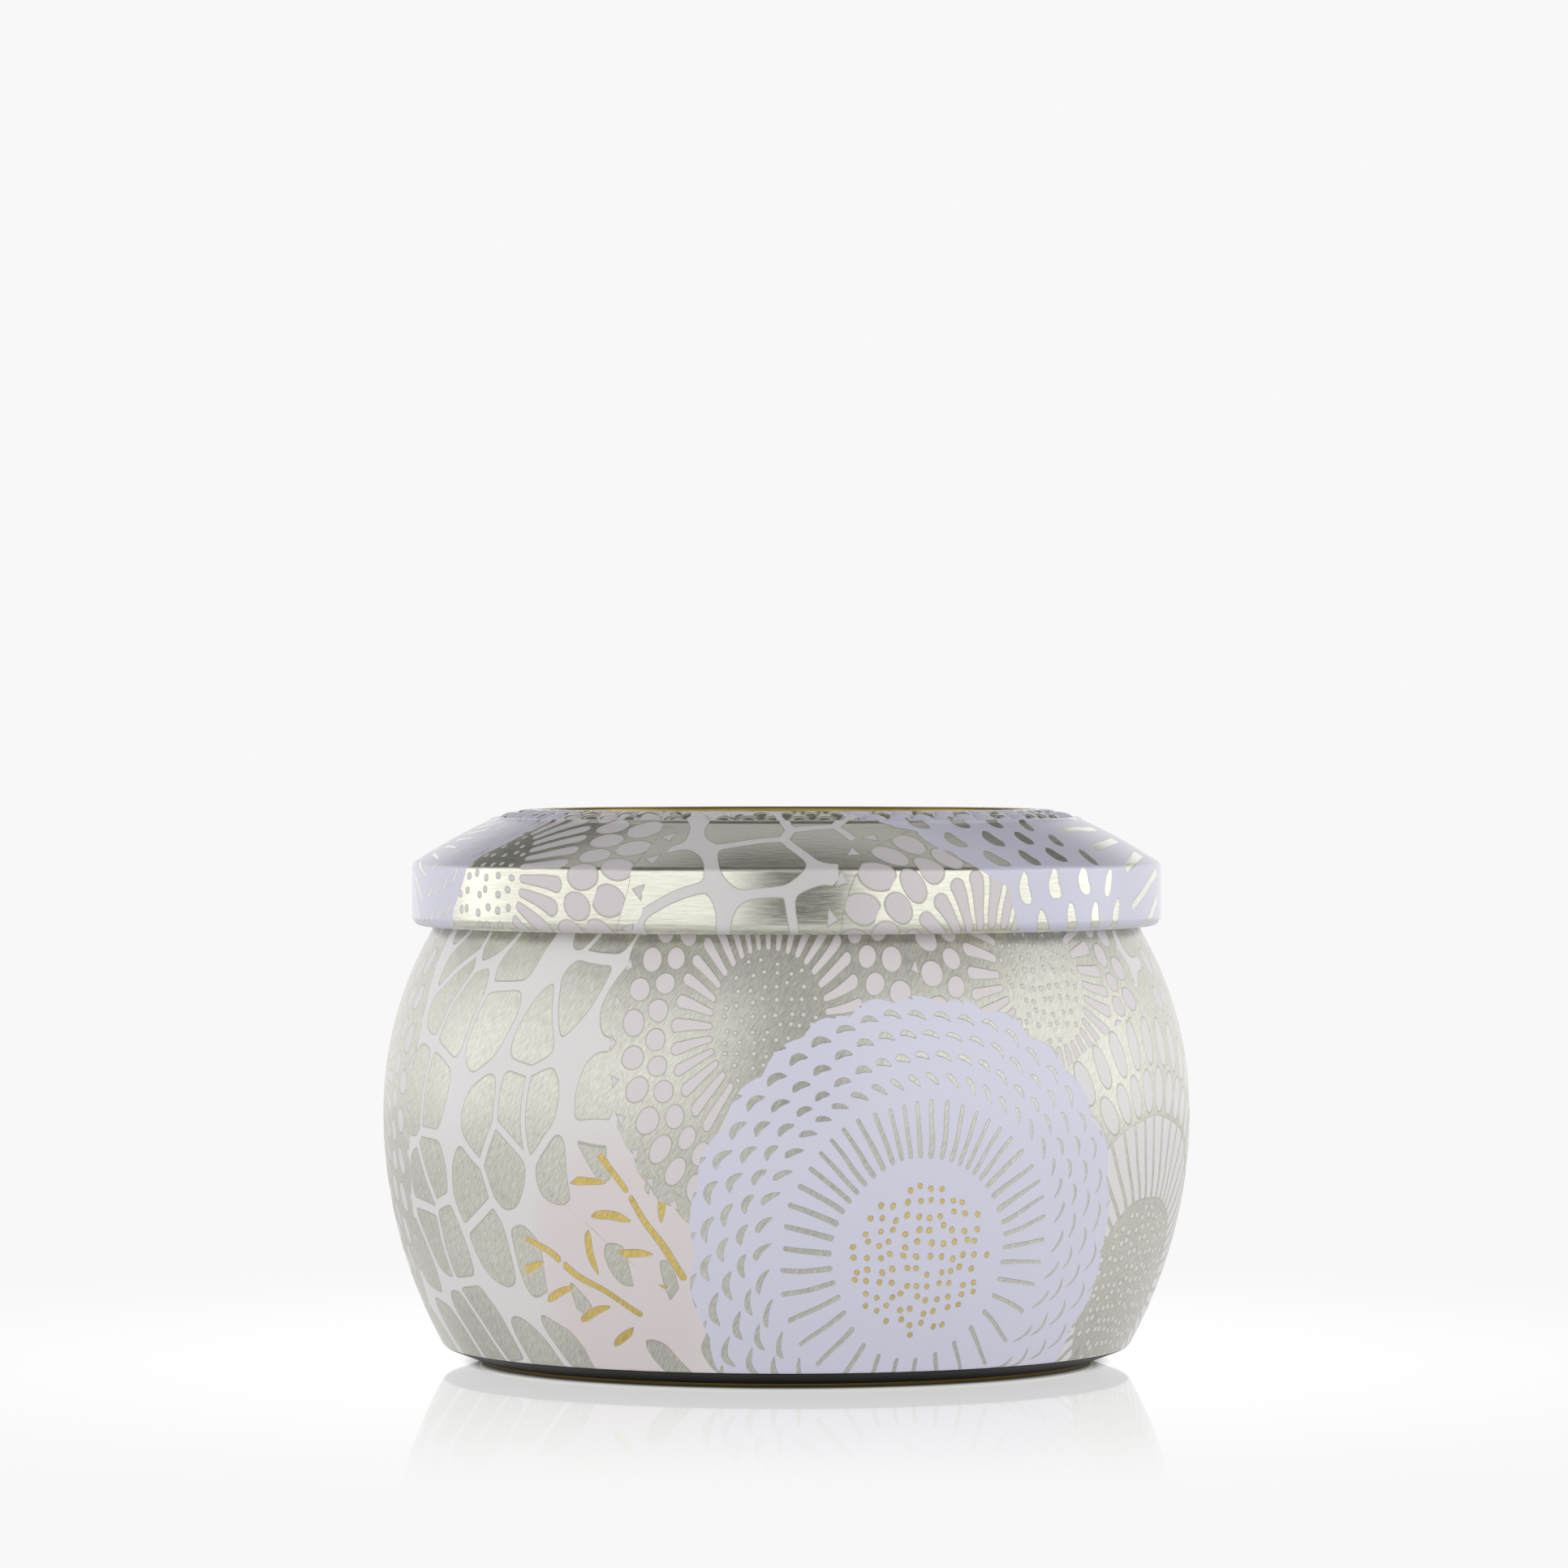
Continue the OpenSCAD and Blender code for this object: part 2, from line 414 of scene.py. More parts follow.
def pair(x, y, z=0.0):
    """Vector socket from numbers"""
    node = x.tree.nodes.new("ShaderNodeCombineXYZ")
    for slot, value in zip(node.inputs, (x, y, z)):
        plug(x.tree, value, slot)
    return node.outputs[0]


def noise(tree, place, scale, detail=2.0, rough=0.5, dimensions="3D"):
    """Noise node at a place; its outputs are a number and a colour"""
    node = tree.nodes.new("ShaderNodeTexNoise")
    node.noise_dimensions = dimensions
    tree.links.new(place, node.inputs["Vector"])
    node.inputs["Scale"].default_value = scale
    node.inputs["Detail"].default_value = detail
    node.inputs["Roughness"].default_value = rough
    return node


def voronoi(tree, place, feature, randomness):
    """Flat cell pattern, one cell to each unit of place"""
    node = tree.nodes.new("ShaderNodeTexVoronoi")
    node.voronoi_dimensions = "2D"
    node.feature = feature
    tree.links.new(place, node.inputs["Vector"])
    node.inputs["Scale"].default_value = 1.0
    node.inputs["Randomness"].default_value = randomness
    return node


def new_material(name):
    """New material, its tree and its shader"""
    material = bpy.data.materials.new(name)
    material.use_nodes = True
    tree = material.node_tree
    shader = tree.nodes["Principled BSDF"]
    return material, tree, shader


def bump(tree, shader, height, distance, strength):
    """Surface relief: height is a share of distance, which is in metres"""
    node = tree.nodes.new("ShaderNodeBump")
    node.inputs["Strength"].default_value = strength
    node.inputs["Distance"].default_value = distance
    plug(tree, height, node.inputs["Height"])
    tree.links.new(node.outputs["Normal"], shader.inputs["Normal"])


# ---------------------------------------------------------------- printed design

EDGE_SOFTNESS = 0.07
DOT_RANDOMNESS = 0.5
CELL_RANDOMNESS = 0.8


class Layer:
    """Part of the print: where it lies, how deep in bare metal a point is, and its ink

    depth is in millimetres, above 0 in bare metal and below 0 in ink. gold and deep are masks
    from 0 to 1: gold metal, and metal that lies well below the ink with only faint painted shade at
    its edge.
    """

    def __init__(self, region, depth, ink, gold=0.0, deep=0.0):
        self.region = region
        self.depth = depth
        self.ink = ink
        self.gold = gold
        self.deep = deep


def over(base, top):
    """The top layer laid on the base"""
    return Layer(
        None,
        blend(top.region, base.depth, top.depth),
        tint(top.region, base.ink, top.ink),
        blend(top.region, base.gold, top.gold),
        blend(top.region, base.deep, top.deep),
    )


class Scatter:
    """Scattered dots: how far off the nearest one's middle is, and where that middle lies"""

    def __init__(self, tree, u, v, pitch):
        node = voronoi(tree, pair(u * (1 / pitch), v * (1 / pitch)), "F1", DOT_RANDOMNESS)
        split = tree.nodes.new("ShaderNodeSeparateXYZ")
        tree.links.new(node.outputs["Position"], split.inputs[0])
        self.away = Num(tree, node.outputs["Distance"]) * pitch
        self.u = Num(tree, split.outputs[0]) * pitch
        self.v = Num(tree, split.outputs[1]) * pitch


class Spot:
    """A point and the scattered dot nearest to it, both as seen from a flower's middle"""

    def __init__(self, place, u, v, scatter, scale=1.0):
        self.x, self.y = (number * scale for number in place(u, v))
        self.dot_x, self.dot_y = (number * scale for number in place(scatter.u, scatter.v))
        self.away = scatter.away * scale

    def dots(self, radius, reach, stretch=1.0):
        """Depth inside the dots whose middles are within reach of the flower's middle"""
        rho = hypot(self.dot_x, self.dot_y * (1 / stretch))
        return (-self.away + radius).less((-rho + reach) * 4.0)


def polar(x, y, count, sway=0.0):
    """Distance from a flower's middle, the place round it in cells, and a cell's width there

    With a sway the cells are narrower above the middle than below it.
    """
    rho = hypot(x, y)
    density = count / (2 * math.pi)
    cell = y.calc("ARCTAN2", x).line(density, 0.5) - (x / rho) * sway
    width = rho * rho / (rho * density + y * sway)
    return rho, cell, width


def cell_x(cell, width):
    """Millimetres across a flower's cell from its middle line"""
    return (cell.calc("FRACT") - 0.5) * width


def capsule(x, along, half, radius):
    """Depth inside a round-ended bar"""
    over_end = (along.size() - half).more(0.0)
    return (-hypot(x, over_end)) + radius


def oval(x, along, half_x, half_y):
    """Depth inside an oval, roughly in millimetres"""
    ring = hypot(x * (1 / half_x), along * (1 / half_y))
    return ring.line(-min(half_x, half_y), min(half_x, half_y))


def rows_of_marks(rho, start, height, stretch=1.0):
    """Number of the row of marks that a point lies in, and its millimetres from the row's middle"""
    ring = rho.line(1 / height, -start / height)
    row = ring.calc("FLOOR")
    return row, (ring - row).line(height * stretch, -height * stretch / 2)


def scalloped(rho, cell, edge_r, swell, scallops_per_cell=1.0):
    """Mask of a flower's ground, whose edge swells out in scallops"""
    scallop = (cell * (math.pi * scallops_per_cell)).calc("SINE").size().line(swell, edge_r)
    return ramp(scallop - rho, 0.0, EDGE_SOFTNESS)


def dahlia(spot, dot_r=0.28, dab=0.23, commas=38):
    """Large flower on lavender ink: gold dots, a fan of fine strokes and rows of commas"""
    rays = 42
    dots_reach = 6.9
    gilt_r = 7.6
    stroke_middle = 11.0
    stroke_half = 2.2
    commas_start = 14.2
    comma_row = 1.8
    edge_r = 21.5
    rho, cell, width = polar(spot.x, spot.y * 0.93, rays, 2.6)
    dots = spot.dots(dot_r, dots_reach)
    strokes = capsule(cell_x(cell, width), rho - stroke_middle, stroke_half, 0.0)
    strokes = strokes + rho.line(-0.01, 0.3) - spot.x * 0.002

    # A comma follows a bent line, is thickest in its middle, and slants most in the first row
    row, along = rows_of_marks(rho, commas_start, comma_row)
    share = (cell * (commas / rays) + row * 0.5).calc("FRACT") - 0.5
    comma_x = share * width * (rays / commas)
    slant = ramp(rho, commas_start + comma_row - 0.1, commas_start + comma_row + 0.1, 0.7, 0.25)
    from_line = (comma_x * comma_x * 0.4 + along - comma_x * slant - 0.15).size()
    square = share * share * 7.7
    thick = (square * square).line(-1.0, 1.0) * spot.x.line(-0.005, dab)
    dabs = (thick - from_line).less(rho - commas_start)

    gilt = ramp(rho, gilt_r, gilt_r + 0.1, 1.0, 0.0) * ramp(dots, 0.12, 0.24, 1.0, 0.3)
    region = scalloped(rho, cell, edge_r, 0.7, 0.5)
    return Layer(region, dots.more(strokes).more(dabs), linear(LAVENDER), gilt, 1.0)


def daisy(spot, stretch):
    """Flower on bare metal: a dotted middle, pale petals, two rows of ovals and small chips"""
    count = 36
    dots_reach = 4.9
    petal_middle = 7.0
    petal_half = 1.5
    eggs_start = 9.4
    egg_row = 2.35
    egg_half_w = 0.84
    egg_half_l = 1.14
    dot_r = 0.21
    chips_start = 14.1
    edge_r = 15.2
    rho, cell, width = polar(spot.x, spot.y * (1 / stretch), count)
    across = (1 + stretch) / 2
    petals = capsule(cell_x(cell, width) * across, rho - petal_middle, petal_half, 0.0)
    petals = petals + rho.line(0.07, -0.1)
    row, along = rows_of_marks(rho, eggs_start, egg_row, across)
    oval_x = cell_x(row * 0.5 + cell + 0.5, width) * across
    growth = row.line(0.14, 1.0)
    eggs = oval(oval_x / growth, along / growth, egg_half_w, egg_half_l)
    eggs = eggs.less(rho - eggs_start).less(-rho + chips_start)
    chips = (-(oval_x.size() + along.size() * 0.7)) + 0.6
    chips = chips.less(rho - chips_start).less(-rho + edge_r)
    dots = spot.dots(dot_r, dots_reach, stretch)
    ink = petals.more(eggs).more(chips).more(dots)
    return Layer(scalloped(rho, cell, edge_r, 0.35), -ink, linear(PALE_PINK))


def fan(spot):
    """Large flower of long white petals round a dotted metal middle"""
    count = 46
    dots_reach = 8.0
    petals_start = 8.7
    petals_end = 15.8
    eggs_start = 16.0
    egg_row = 4.5
    egg_half_w = 0.95
    egg_half_l = 2.15
    dot_r = 0.3
    edge_r = 25.0
    half_gap = 0.17
    rho, cell, width = polar(spot.x, spot.y, count)
    petals = rho.line(math.pi / count, -half_gap) - cell_x(cell, width).size()
    petals = petals.less((rho - petals_start).less(-rho + petals_end))
    row, along = rows_of_marks(rho, eggs_start, egg_row)
    oval_x = cell_x(row * 0.5 + cell, width)
    eggs = oval(oval_x, along, egg_half_w, egg_half_l).less(rho - eggs_start)
    dots = spot.dots(dot_r, dots_reach)
    region = ramp(-rho + edge_r, 0.0, EDGE_SOFTNESS)
    return Layer(region, -(petals.more(eggs).more(dots)), linear(WHITE_INK))


def web(tree, x, y):
    """Depth in the bare cells of a mesh; x and y count cells

    A cell ends at the strands round it, and its corners are rounded towards its middle.
    """
    place = pair(x, y)
    edge = Num(tree, voronoi(tree, place, "DISTANCE_TO_EDGE", CELL_RANDOMNESS).outputs["Distance"])
    near = Num(tree, voronoi(tree, place, "F1", CELL_RANDOMNESS).outputs["Distance"])
    from_strand = edge.line(5.6, -0.36)
    from_corner = near.line(-5.4, 3.0)
    return from_strand.calc("SMOOTH_MIN", from_corner, 0.7)


def sprigs(x, y):
    """Depth in two gold sprigs; a leaf stroke repeats along each stem

    along and side are a point's place along its stem and its distance to one side of it.
    """
    stem_pitch = 9.4
    stem_half = 4.2
    stem_r = 0.31
    stems_reach = 6.9
    leaf_pitch = 3.9
    leaf_off = 2.8
    leaf_half_w = 0.46
    left_leaves_reach = 6.5
    right_leaves_reach = 2.4
    upper = ramp(x * 0.75 + y, -0.05, 0.05)
    along = blend(upper, x.line(0.87, 2.0) - y * 0.49, x.line(0.56, 0.6) - y * 0.83)
    side = blend(upper, (x * 0.49 + y * 0.87) + 4.4, (x * 0.83 + y * 0.56) - 4.1)
    part = (along.line(1 / stem_pitch, 0.25).calc("FRACT") - 0.5) * stem_pitch
    stem = capsule(side, part, stem_half, stem_r).less(-(along.size()) + stems_reach)
    step = along * (1 / leaf_pitch) + ramp(side, -0.01, 0.01) * 0.5
    place = (step.calc("FRACT") - 0.5) * leaf_pitch
    out = side.size() - leaf_off
    square = out * out
    curve = out * 0.7 - square * 0.1
    leaf = (square * square).line(-0.06, leaf_half_w) - (place + curve).size()
    reach = ramp(side, -0.1, 0.1, left_leaves_reach, right_leaves_reach)
    return stem.more(leaf.less(reach - along.size()))


def on_wall(centre_u, centre_v):
    """Function that places a point in millimetres from a spot of the wall's flat sheet"""
    def place(u, v):
        return (u - centre_u).calc("WRAP", WALL_PERIOD / 2, -WALL_PERIOD / 2), v - centre_v
    return place


def on_lid(centre_degrees, centre_v):
    """Function that places a point in millimetres from a spot of the lid's flat round blank"""
    def place(u, v):
        turn = u.line(1 / LID_R, -math.radians(centre_degrees))
        return v * turn.calc("SINE"), -(v * turn.calc("COSINE")) + centre_v
    return place


# The print's outlines wander within this many millimetres
DRIFT = 1.0
DRIFT_SCALE = 190.0

INK_THICKNESS = 0.045
INK_ROUGHNESS = 0.42
COAT_ROUGHNESS = 0.14


def sheet_place(tree):
    """Place on the piece's flat sheet in millimetres, round it and along it"""
    uv = tree.nodes.new("ShaderNodeUVMap")
    uv.uv_map = "sheet"
    split = tree.nodes.new("ShaderNodeSeparateXYZ")
    tree.links.new(uv.outputs[0], split.inputs[0])
    return Num(tree, split.outputs[0]), Num(tree, split.outputs[1])


def wandering(tree, u, v):
    """The same place, shifted a little this way and that"""
    drift = noise(tree, object_place(tree), DRIFT_SCALE, 0.0)
    split = tree.nodes.new("ShaderNodeSeparateColor")
    tree.links.new(drift.outputs["Color"], split.inputs[0])
    drift_u = Num(tree, split.outputs[0]).line(DRIFT, -DRIFT / 2)
    drift_v = Num(tree, split.outputs[1]).line(DRIFT, -DRIFT / 2)
    return drift_u + u, drift_v + v


def brushed(tree, u, v, angle, scale_along, scale_across):
    """Brushed grain from 0 to 1, drawn out along an angle in degrees"""
    lean_x = math.cos(math.radians(angle))
    lean_y = math.sin(math.radians(angle))
    along = (u * lean_x + v * lean_y) * scale_along
    across = (v * lean_x - u * lean_y) * scale_across
    return Num(tree, noise(tree, pair(along, across), 1.0, 2.0, 0.7, "2D").outputs[0])


def printed_metal(name, layout, metal_colour, rough, coat, pearl, grain):
    """Satin ink printed on brushed champagne metal

    layout(tree, u, v) gives the print as a Layer. pearl is the share of the ink's light that
    the metal under it mirrors. grain is the brushing's direction in degrees, its scales along
    and across it, and its contrast.
    """
    material, tree, shader = new_material(name)
    u, v = sheet_place(tree)
    print_layer = layout(tree, *wandering(tree, u, v))
    metal = ramp(print_layer.depth, -0.02, 0.04)
    # Painted shade along the ink's edges, where the ink steps down to the bare metal
    line = ramp(print_layer.depth.size(), 0.02, 0.08, 1.0, 0.0)

    angle, scale_along, scale_across, contrast = grain
    speck = brushed(tree, u, v, angle, scale_along, scale_across)
    cloud = Num(tree, noise(tree, object_place(tree), 110.0, 2.0).outputs[0])
    shade = speck.line(contrast, 1.0 - contrast * 0.5) * cloud.line(0.2, 0.9)
    bare = tint(print_layer.gold, linear(metal_colour), linear(GOLD_INK))
    thin = 1.0 - 0.6 * pearl
    ink = shaded(tree, print_layer.ink, (thin, thin, thin, 1.0))
    colour = tint(metal, ink, shaded(tree, bare, pair(shade, shade, shade)))
    # The ink's edges darkened with painted shade, fainter round metal that lies deep
    colour = tint(line * blend(print_layer.deep, 0.65, 0.25), colour, linear(PAINTED_EDGE_SHADE))
    tree.links.new(colour, shader.inputs["Base Color"])
    plug(tree, metal.line(0.97 - pearl, pearl), shader.inputs["Metallic"])
    plug(tree, blend(metal, INK_ROUGHNESS, speck.line(0.16, rough - 0.08)),
         shader.inputs["Roughness"])
    shader.inputs["Coat Weight"].default_value = coat
    shader.inputs["Coat Roughness"].default_value = COAT_ROUGHNESS
    sink = metal * blend(print_layer.deep, 0.35, 1.0)
    height = sink.line(-1.0, 1.0) + speck * metal * 0.22
    bump(tree, shader, height, INK_THICKNESS * MM, 0.9)
    return material


# Daisies on the wall: place round it, height and stretch. Daisies on the lid: angle in
# degrees, distance from the middle, and scale.
WALL_DAISIES = [(-59.0, 27.0, 1.7), (27.4, 37.6, 1.32), (-1.6, 33.0, 1.32)]
LID_DAISIES = [(-158, 36.0, 0.72), (-55, 38.5, 0.68), (32, 50.0, 0.68)]


def wall_design(tree, u, v):
    """The wall's print, laid out on the flat sheet"""
    cell_w = 5.0
    cell_h = 7.8
    scatter = Scatter(tree, u, v, 1.2)

    # Lilac mesh whose columns bow to the left, with a patch of pink ink that thins its cells
    x, y = on_wall(-16.5, 9.0)(u, v)
    pink_patch = ramp(oval(x, y - 1.0, 8.5, 12.0), -2.5, 2.0)
    bow = (v - 22.0) * (v - 22.0) * 0.014
    depth = web(tree, (u - bow) * (1 / cell_w), v * (1 / cell_h)) - pink_patch * 1.5
    base = Layer(None, depth, tint(pink_patch, linear(LILAC), linear(PINK)))

    gold_depth = sprigs(x, y - 4.0)
    gold_region = ramp(oval(x, y - 4.0, 11.0, 17.0), 0.0, 0.1) * ramp(gold_depth, -0.12, -0.08)
    base = over(base, Layer(gold_region, gold_depth, linear(PINK), 1.0, 0.6))
    for daisy_u, daisy_v, stretch in WALL_DAISIES:
        base = over(base, daisy(Spot(on_wall(daisy_u, daisy_v), u, v, scatter), stretch))
    base = over(base, fan(Spot(on_wall(42.0, 8.0), u, v, scatter)))
    return over(base, dahlia(Spot(on_wall(12.8, 12.0), u, v, scatter)))


def lid_design(tree, u, v):
    """The lid's print, laid out on its flat round blank"""
    cell = 7.5
    scatter = Scatter(tree, u, v, 1.5)
    x, y = on_lid(0.0, 0.0)(u, v)
    base = Layer(None, web(tree, x * (1 / cell), y * (1 / cell)) * 1.2, linear(LILAC))
    for degrees, distance, scale in LID_DAISIES:
        base = over(base, daisy(Spot(on_lid(degrees, distance), u, v, scatter, scale), 1.0))
    base = over(base, dahlia(Spot(on_lid(-92, 35.0), u, v, scatter)))
    return over(base, dahlia(Spot(on_lid(104, 38.0), u, v, scatter, 0.5), 0.15, 0.3, 52))


# ---------------------------------------------------------------- plain materials


def object_place(tree):
    """Place on the object in metres"""
    return tree.nodes.new("ShaderNodeTexCoord").outputs["Object"]


def lacquer_gold():
    """Gold lacquer over rolled tinplate"""
    material, tree, shader = new_material("lacquered_gold")
    place = object_place(tree)
    stretch = tree.nodes.new("ShaderNodeMapping")
    stretch.inputs["Scale"].default_value = (900, 60, 900)
    tree.links.new(place, stretch.inputs[0])
    rolled = Num(tree, noise(tree, stretch.outputs[0], 1.0, 3.0).outputs[0])
    cloud = Num(tree, noise(tree, place, 140.0, 3.0).outputs[0])
    shade = rolled.line(0.2, 0.8) * cloud.line(0.3, 0.86)
    colour = shaded(tree, linear(LACQUER), pair(shade, shade, shade))
    tree.links.new(colour, shader.inputs["Base Color"])
    shader.inputs["Metallic"].default_value = 1.0
    plug(tree, rolled.line(0.15, 0.23), shader.inputs["Roughness"])
    bump(tree, shader, rolled, 0.004 * MM, 0.5)
    return material


def black_foot_band():
    """Near-black band round the wall's foot, with fine dust, that mirrors almost no light"""
    material, tree, shader = new_material("black_foot_band")
    place = object_place(tree)
    dust = Num(tree, noise(tree, place, 3000.0, 2.0).outputs[0])
    cloud = Num(tree, noise(tree, place, 220.0, 2.0).outputs[0])
    colour = tint(ramp(dust, 0.62, 0.8), linear((22, 21, 22)), linear((58, 56, 58)))
    tree.links.new(colour, shader.inputs["Base Color"])
    plug(tree, cloud.line(0.2, 0.22), shader.inputs["Roughness"])
    # Reflection turned almost off, so the band stays near black
    shader.inputs["Specular IOR Level"].default_value = 0.06
    bump(tree, shader, dust, 0.004 * MM, 0.4)
    return material


def polished_brass():
    """Brass with a fine turned grain"""
    material, tree, shader = new_material("polished_brass")
    place = object_place(tree)
    split = tree.nodes.new("ShaderNodeSeparateXYZ")
    tree.links.new(place, split.inputs[0])
    rho = hypot(Num(tree, split.outputs[0]), Num(tree, split.outputs[1]))
    turned = Num(tree, noise(tree, pair(rho * 9000.0, rho * 0.0), 1.0, 2.0).outputs[0])
    cloud = Num(tree, noise(tree, place, 160.0, 3.0).outputs[0])
    colour = tint(cloud, linear((194, 164, 98)), linear((176, 142, 78)))
    tree.links.new(colour, shader.inputs["Base Color"])
    shader.inputs["Metallic"].default_value = 1.0
    plug(tree, turned.line(0.1, 0.18) + cloud * 0.08, shader.inputs["Roughness"])
    bump(tree, shader, turned, 0.002 * MM, 0.5)
    return material


def soft_wax():
    """Translucent cream wax with a frosted bloom"""
    material, tree, shader = new_material("soft_wax")
    place = object_place(tree)
    frost = Num(tree, noise(tree, place, 500.0, 4.0, 0.6).outputs[0])
    cloud = Num(tree, noise(tree, place, 90.0, 3.0).outputs[0])
    colour = tint(ramp(cloud, 0.35, 0.7), linear((250, 244, 228)), linear((254, 251, 242)))
    tree.links.new(colour, shader.inputs["Base Color"])
    shader.inputs["Subsurface Weight"].default_value = 0.6
    shader.inputs["Subsurface Radius"].default_value = (1.0, 0.75, 0.5)
    shader.inputs["Subsurface Scale"].default_value = 2.5 * MM
    plug(tree, ramp(frost, 0.35, 0.75, 0.32, 0.62), shader.inputs["Roughness"])
    bump(tree, shader, frost + cloud * 2.0, 0.05 * MM, 0.35)
    return material


def fibre(name, light, dark, scale, lean):
    """Cotton or paper: fine threads along Z with a lean"""
    material, tree, shader = new_material(name)
    place = object_place(tree)
    stretch = tree.nodes.new("ShaderNodeMapping")
    stretch.inputs["Scale"].default_value = (scale, scale, scale * 0.2)
    stretch.inputs["Rotation"].default_value = (lean, 0.0, 0.0)
    tree.links.new(place, stretch.inputs[0])
    threads = Num(tree, noise(tree, stretch.outputs[0], 1.0, 4.0, 0.65).outputs[0])
    colour = tint(ramp(threads, 0.3, 0.7), linear(dark), linear(light))
    tree.links.new(colour, shader.inputs["Base Color"])
    plug(tree, threads.line(0.2, 0.7), shader.inputs["Roughness"])
    bump(tree, shader, threads, 0.02 * MM, 0.6)
    return material


def matt(name, colour, other, scale, rough, grain):
    """Matt moulded or pasted material with a mottled surface"""
    material, tree, shader = new_material(name)
    place = object_place(tree)
    mottle = Num(tree, noise(tree, place, scale, 4.0, 0.6).outputs[0])
    cloud = Num(tree, noise(tree, place, scale * 0.12, 2.0).outputs[0])
    mixed = tint(mottle * 0.6 + cloud * 0.4, linear(colour), linear(other))
    tree.links.new(mixed, shader.inputs["Base Color"])
    plug(tree, mottle.line(0.2, rough - 0.1), shader.inputs["Roughness"])
    bump(tree, shader, mottle, grain * MM, 0.5)
    return material


def tab_steel():
    """Tinned steel pressed into the wick tab"""
    material, tree, shader = new_material("tab_steel")
    place = object_place(tree)
    crystal = Num(tree, noise(tree, place, 900.0, 3.0).outputs[0])
    cloud = Num(tree, noise(tree, place, 200.0, 2.0).outputs[0])
    colour = tint(cloud, linear((196, 198, 202)), linear((172, 175, 180)))
    tree.links.new(colour, shader.inputs["Base Color"])
    shader.inputs["Metallic"].default_value = 1.0
    plug(tree, crystal.line(0.2, 0.22), shader.inputs["Roughness"])
    bump(tree, shader, crystal, 0.006 * MM, 0.4)
    return material


# ---------------------------------------------------------------- pieces


def printed_body(print_material, foot_band, lacquer):
    """Bulged wall with its black flange, neck, mouth curl and a lapped side seam at the back"""
    outer = wall_path()
    inner = moved(outer, SHEET_T)
    outline = outer + inner[::-1]
    heights = [z for r, z in outline]
    zones = []
    for j in range(len(outline)):
        if j < len(outer) - 1:
            middle = (outline[j][1] + outline[j + 1][1]) / 2
            zones.append(1 if middle < BLACK_TOP_Z else 0)
        else:
            zones.append(2)

    def lift(angle, j):
        from_back = (math.pi - abs(angle)) * BODY_R
        height = outline[j][1]
        fade = bounded((height - SEAM_LOW_Z) / 3.0) * bounded((SEAM_HIGH_Z - height) / 2.0)
        rise = fall_off(from_back - SEAM_HALF_W, 6.0)
        return -SEAM_RISE * rise * fade, 0.0

    materials = [print_material, foot_band, lacquer]
    return revolve("printed_body", outline, 320, materials, zones, heights, BODY_R, lift)


def base_plate(lacquer):
    """End plate with its foot bead"""
    under = plate_path()
    outline = under + moved(under, SHEET_T)[::-1]
    outline[-1] = (0.0, PANEL_Z + SHEET_T)
    return revolve("base_end", outline, 256, [lacquer], [0] * len(outline))


def printed_lid(print_material, lacquer):
    """Drawn lid with two rows of embossed beads and a smooth ridge round its crest"""
    outer = lid_path()
    inner = moved(outer, SHEET_T)
    outline = outer + inner[::-1]
    distance = lengths(outer)
    crest = max(range(len(outer)), key=lambda i: outer[i][1])
    spread = [distance[crest] - d + CREST_SPREAD for d in distance]
    # The print ends and the gold begins on the lip, just inside the crest
    lip = sum(r > CREST_R - 0.1 for r, z in outer)
    zones = [0] * lip + [1] * (len(outline) - lip)
    sheet_v = spread + spread[::-1]

    def bead(angle, s, centre_s, half_s, shift):
        share = (angle / (2 * math.pi) * BEADS + shift) % 1.0 - 0.5
        x = share * 2.0 / BEAD_FILL
        y = (s - centre_s) / half_s
        return math.sqrt(max(0.0, 1.0 - x * x - y * y))

    def lift(angle, j):
        s = sheet_v[j] - CREST_SPREAD
        if s < BEADS_START:
            return 0.0, 0.0
        if s > BEADS_END:
            rise = RIDGE * math.sin(math.pi * bounded((s - BEADS_END) / RIDGE_W)) ** 2
            return rise * 0.4, rise
        zone = min(1.0, (s - BEADS_START) / 0.3) * min(1.0, (BEADS_END - s) / 0.3)
        rise = max(bead(angle, s, *row) for row in BEAD_ROWS)
        drop = (rise - 1.0) * RELIEF * zone
        return drop * 0.25, drop

    materials = [print_material, lacquer]
    return revolve("printed_lid", outline, 600, materials, zones, sheet_v, LID_R, lift)


def medallion(brass):
    """Brass disc with a turned rim and a plain rosette"""
    rings = [MEDAL_R - MEDAL_EDGE, 22.0, 21.5, 20.7, 20.2, 19.7, 19.2]
    drops = [0.0, 0.0, 0.03, 0.03, 0.16, 0.03, 0.0]
    outline = [(0.0, MEDAL_BOTTOM), (MEDAL_R, MEDAL_BOTTOM), (MEDAL_R, MEDAL_TOP - MEDAL_EDGE)]
    outline += [(r, MEDAL_TOP - d) for r, d in zip(rings, drops)]
    first = len(outline)
    steps = 60
    outline += [(18.8 * (1 - i / steps), MEDAL_TOP) for i in range(steps + 1)]

    def lift(angle, j):
        if j < first:
            return 0.0, 0.0
        r = outline[j][0]
        petal_end = 10.5 + 6.5 * abs(math.sin(angle * PETALS / 2))
        petal_root = 4.0 + 2.5 * abs(math.cos(angle * PETALS / 2))
        petal = fall_off(r - petal_end, 3.0)
        core = fall_off(r - petal_root, 3.0)
        vein = 0.5 + 0.5 * math.cos(angle * PETALS)
        return 0.0, -PETAL_DEPTH * petal * (1 - core) * (0.55 + 0.45 * vein) - 0.02 * core

    return revolve("rosette_medallion", outline, 384, [brass], [0] * len(outline), lift=lift)


